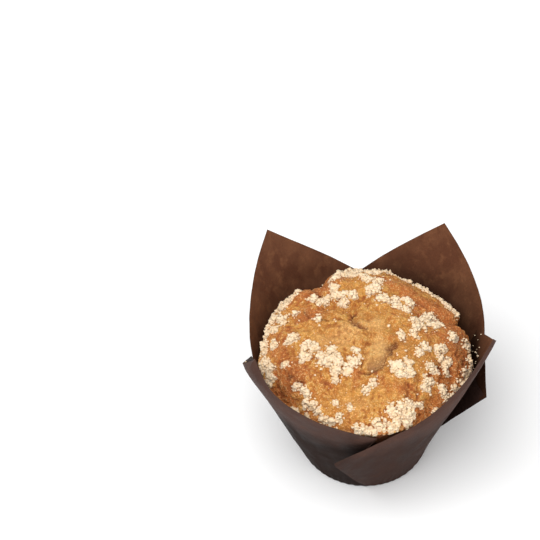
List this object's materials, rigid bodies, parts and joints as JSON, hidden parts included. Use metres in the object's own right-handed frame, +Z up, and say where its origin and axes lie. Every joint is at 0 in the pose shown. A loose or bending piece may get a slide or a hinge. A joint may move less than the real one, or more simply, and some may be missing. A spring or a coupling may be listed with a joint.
{
  "type": "muffin",
  "caption": "Baked muffin with a domed golden crust and heaps of pale crumble, in a dark brown paper tulip case folded from one square sheet.",
  "frame": {"origin": "middle of the case's round flat base, on the surface that it stands on", "axes": "+Z up; +X to the right and +Y away as the muffin is seen from its front, where the deep front pleat opens a view of its side"},
  "size_m": [0.0938, 0.095, 0.0791],
  "materials": {
    "brown_paper": "matt greaseproof baking paper, dark brown, faintly mottled with fat",
    "crust": "baked muffin crust, golden in the middle and browner at the rim, softly glossy",
    "crumble": "dry, pale, floury baked crumble"
  },
  "bodies": {
    "root": {"paper_case": "brown_paper", "muffin": "crust"}
  },
  "joints": []
}
